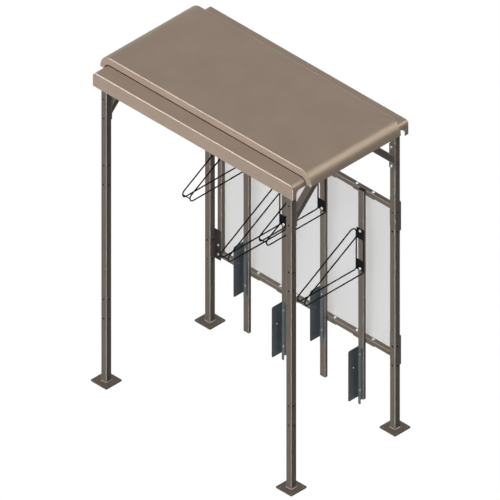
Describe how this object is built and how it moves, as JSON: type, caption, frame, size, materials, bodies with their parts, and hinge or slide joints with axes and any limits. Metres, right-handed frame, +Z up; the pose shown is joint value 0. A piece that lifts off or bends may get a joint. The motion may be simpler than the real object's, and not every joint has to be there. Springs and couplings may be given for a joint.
{
  "type": "bicycle shelter",
  "caption": "Free-standing bicycle shelter: square posts on base plates, a two-level metal roof, a framed back panel and staggered upright racks with bent-rod wheel cradles.",
  "frame": {"origin": "on the ground, at the middle of the four posts", "axes": "+X to the right along the front, +Y to the back panel, +Z up"},
  "size_m": [2.032, 1.1504, 2.6418],
  "materials": {
    "roof_paint": "satin powder coat, warm taupe",
    "frame_paint": "satin powder coat, dark taupe",
    "bracket_paint": "satin powder coat, dark brown",
    "cradle_paint": "satin black powder coat",
    "tray_paint": "satin slate grey powder coat",
    "panel_sheet": "pale grey translucent sheet, low gloss",
    "seal_rubber": "matte dark rubber",
    "cap_plastic": "matte black moulding",
    "zinc": "bright zinc plate"
  },
  "bodies": {
    "root": {"post_front_left": "frame_paint", "post_front_right": "frame_paint", "post_back_left": "frame_paint", "post_back_right": "frame_paint", "base_plate_front_left": "frame_paint", "base_plate_front_right": "frame_paint", "base_plate_back_left": "frame_paint", "base_plate_back_right": "frame_paint", "brace_front_left": "frame_paint", "brace_front_right": "frame_paint", "brace_back_left": "frame_paint", "brace_back_right": "frame_paint", "brace_bolts": "zinc", "roof_beam_left": "frame_paint", "roof_beam_right": "frame_paint", "roof_beam_front": "frame_paint", "roof_beam_back": "frame_paint", "beam_bolts": "zinc", "head_bolts": "zinc", "roof_lower_pan": "roof_paint", "roof_upper_shell": "roof_paint", "roof_seals": "seal_rubber", "roof_spacer_left": "frame_paint", "roof_spacer_right": "frame_paint", "roof_bolts": "zinc", "rail_upper": "frame_paint", "rail_lower": "frame_paint", "stile_left": "frame_paint", "stile_right": "frame_paint", "back_panel": "panel_sheet", "panel_screws": "zinc", "bracket_upper_left": "bracket_paint", "bracket_upper_right": "bracket_paint", "bracket_lower_left": "bracket_paint", "bracket_lower_right": "bracket_paint", "bracket_bolts": "zinc", "rack_post_1": "frame_paint", "rack_post_2": "frame_paint", "rack_post_3": "frame_paint", "rack_post_4": "frame_paint", "rack_bars": "frame_paint", "rack_cap_1": "cap_plastic", "rack_cap_2": "cap_plastic", "rack_cap_3": "cap_plastic", "rack_cap_4": "cap_plastic", "cradle_frames_1": "cradle_paint", "cradle_frames_2": "cradle_paint", "cradle_frames_3": "cradle_paint", "cradle_frames_4": "cradle_paint", "cradle_ties_1": "cradle_paint", "cradle_ties_2": "cradle_paint", "cradle_ties_3": "cradle_paint", "cradle_ties_4": "cradle_paint", "wheel_tray_1": "tray_paint", "wheel_tray_2": "tray_paint", "wheel_tray_3": "tray_paint", "wheel_tray_4": "tray_paint", "rack_bolts": "zinc", "cradle_bolts": "zinc", "tray_bolts": "zinc"}
  },
  "joints": []
}
